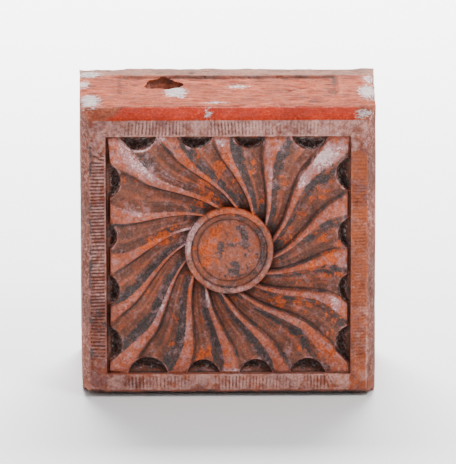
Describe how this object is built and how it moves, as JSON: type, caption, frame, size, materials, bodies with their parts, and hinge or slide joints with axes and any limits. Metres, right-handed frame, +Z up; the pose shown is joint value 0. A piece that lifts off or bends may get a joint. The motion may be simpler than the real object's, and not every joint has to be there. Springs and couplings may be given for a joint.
{
  "type": "terracotta ornamental block",
  "caption": "Square terracotta building block with a sunk whirling rosette round a ringed boss, a tooled band, a recessed top bed with a broken hole, and an open cellular back",
  "frame": {"origin": "middle of the underside, on the surface that the block stands on", "axes": "+X to the right seen from the front, +Y from the carved face to the open back, +Z up"},
  "size_m": [0.313, 0.203, 0.307],
  "materials": {
    "fired_clay": "matt unglazed fired clay with red slip, soot and mortar stains"
  },
  "bodies": {
    "root": {"terracotta_block": "fired_clay"}
  },
  "joints": []
}
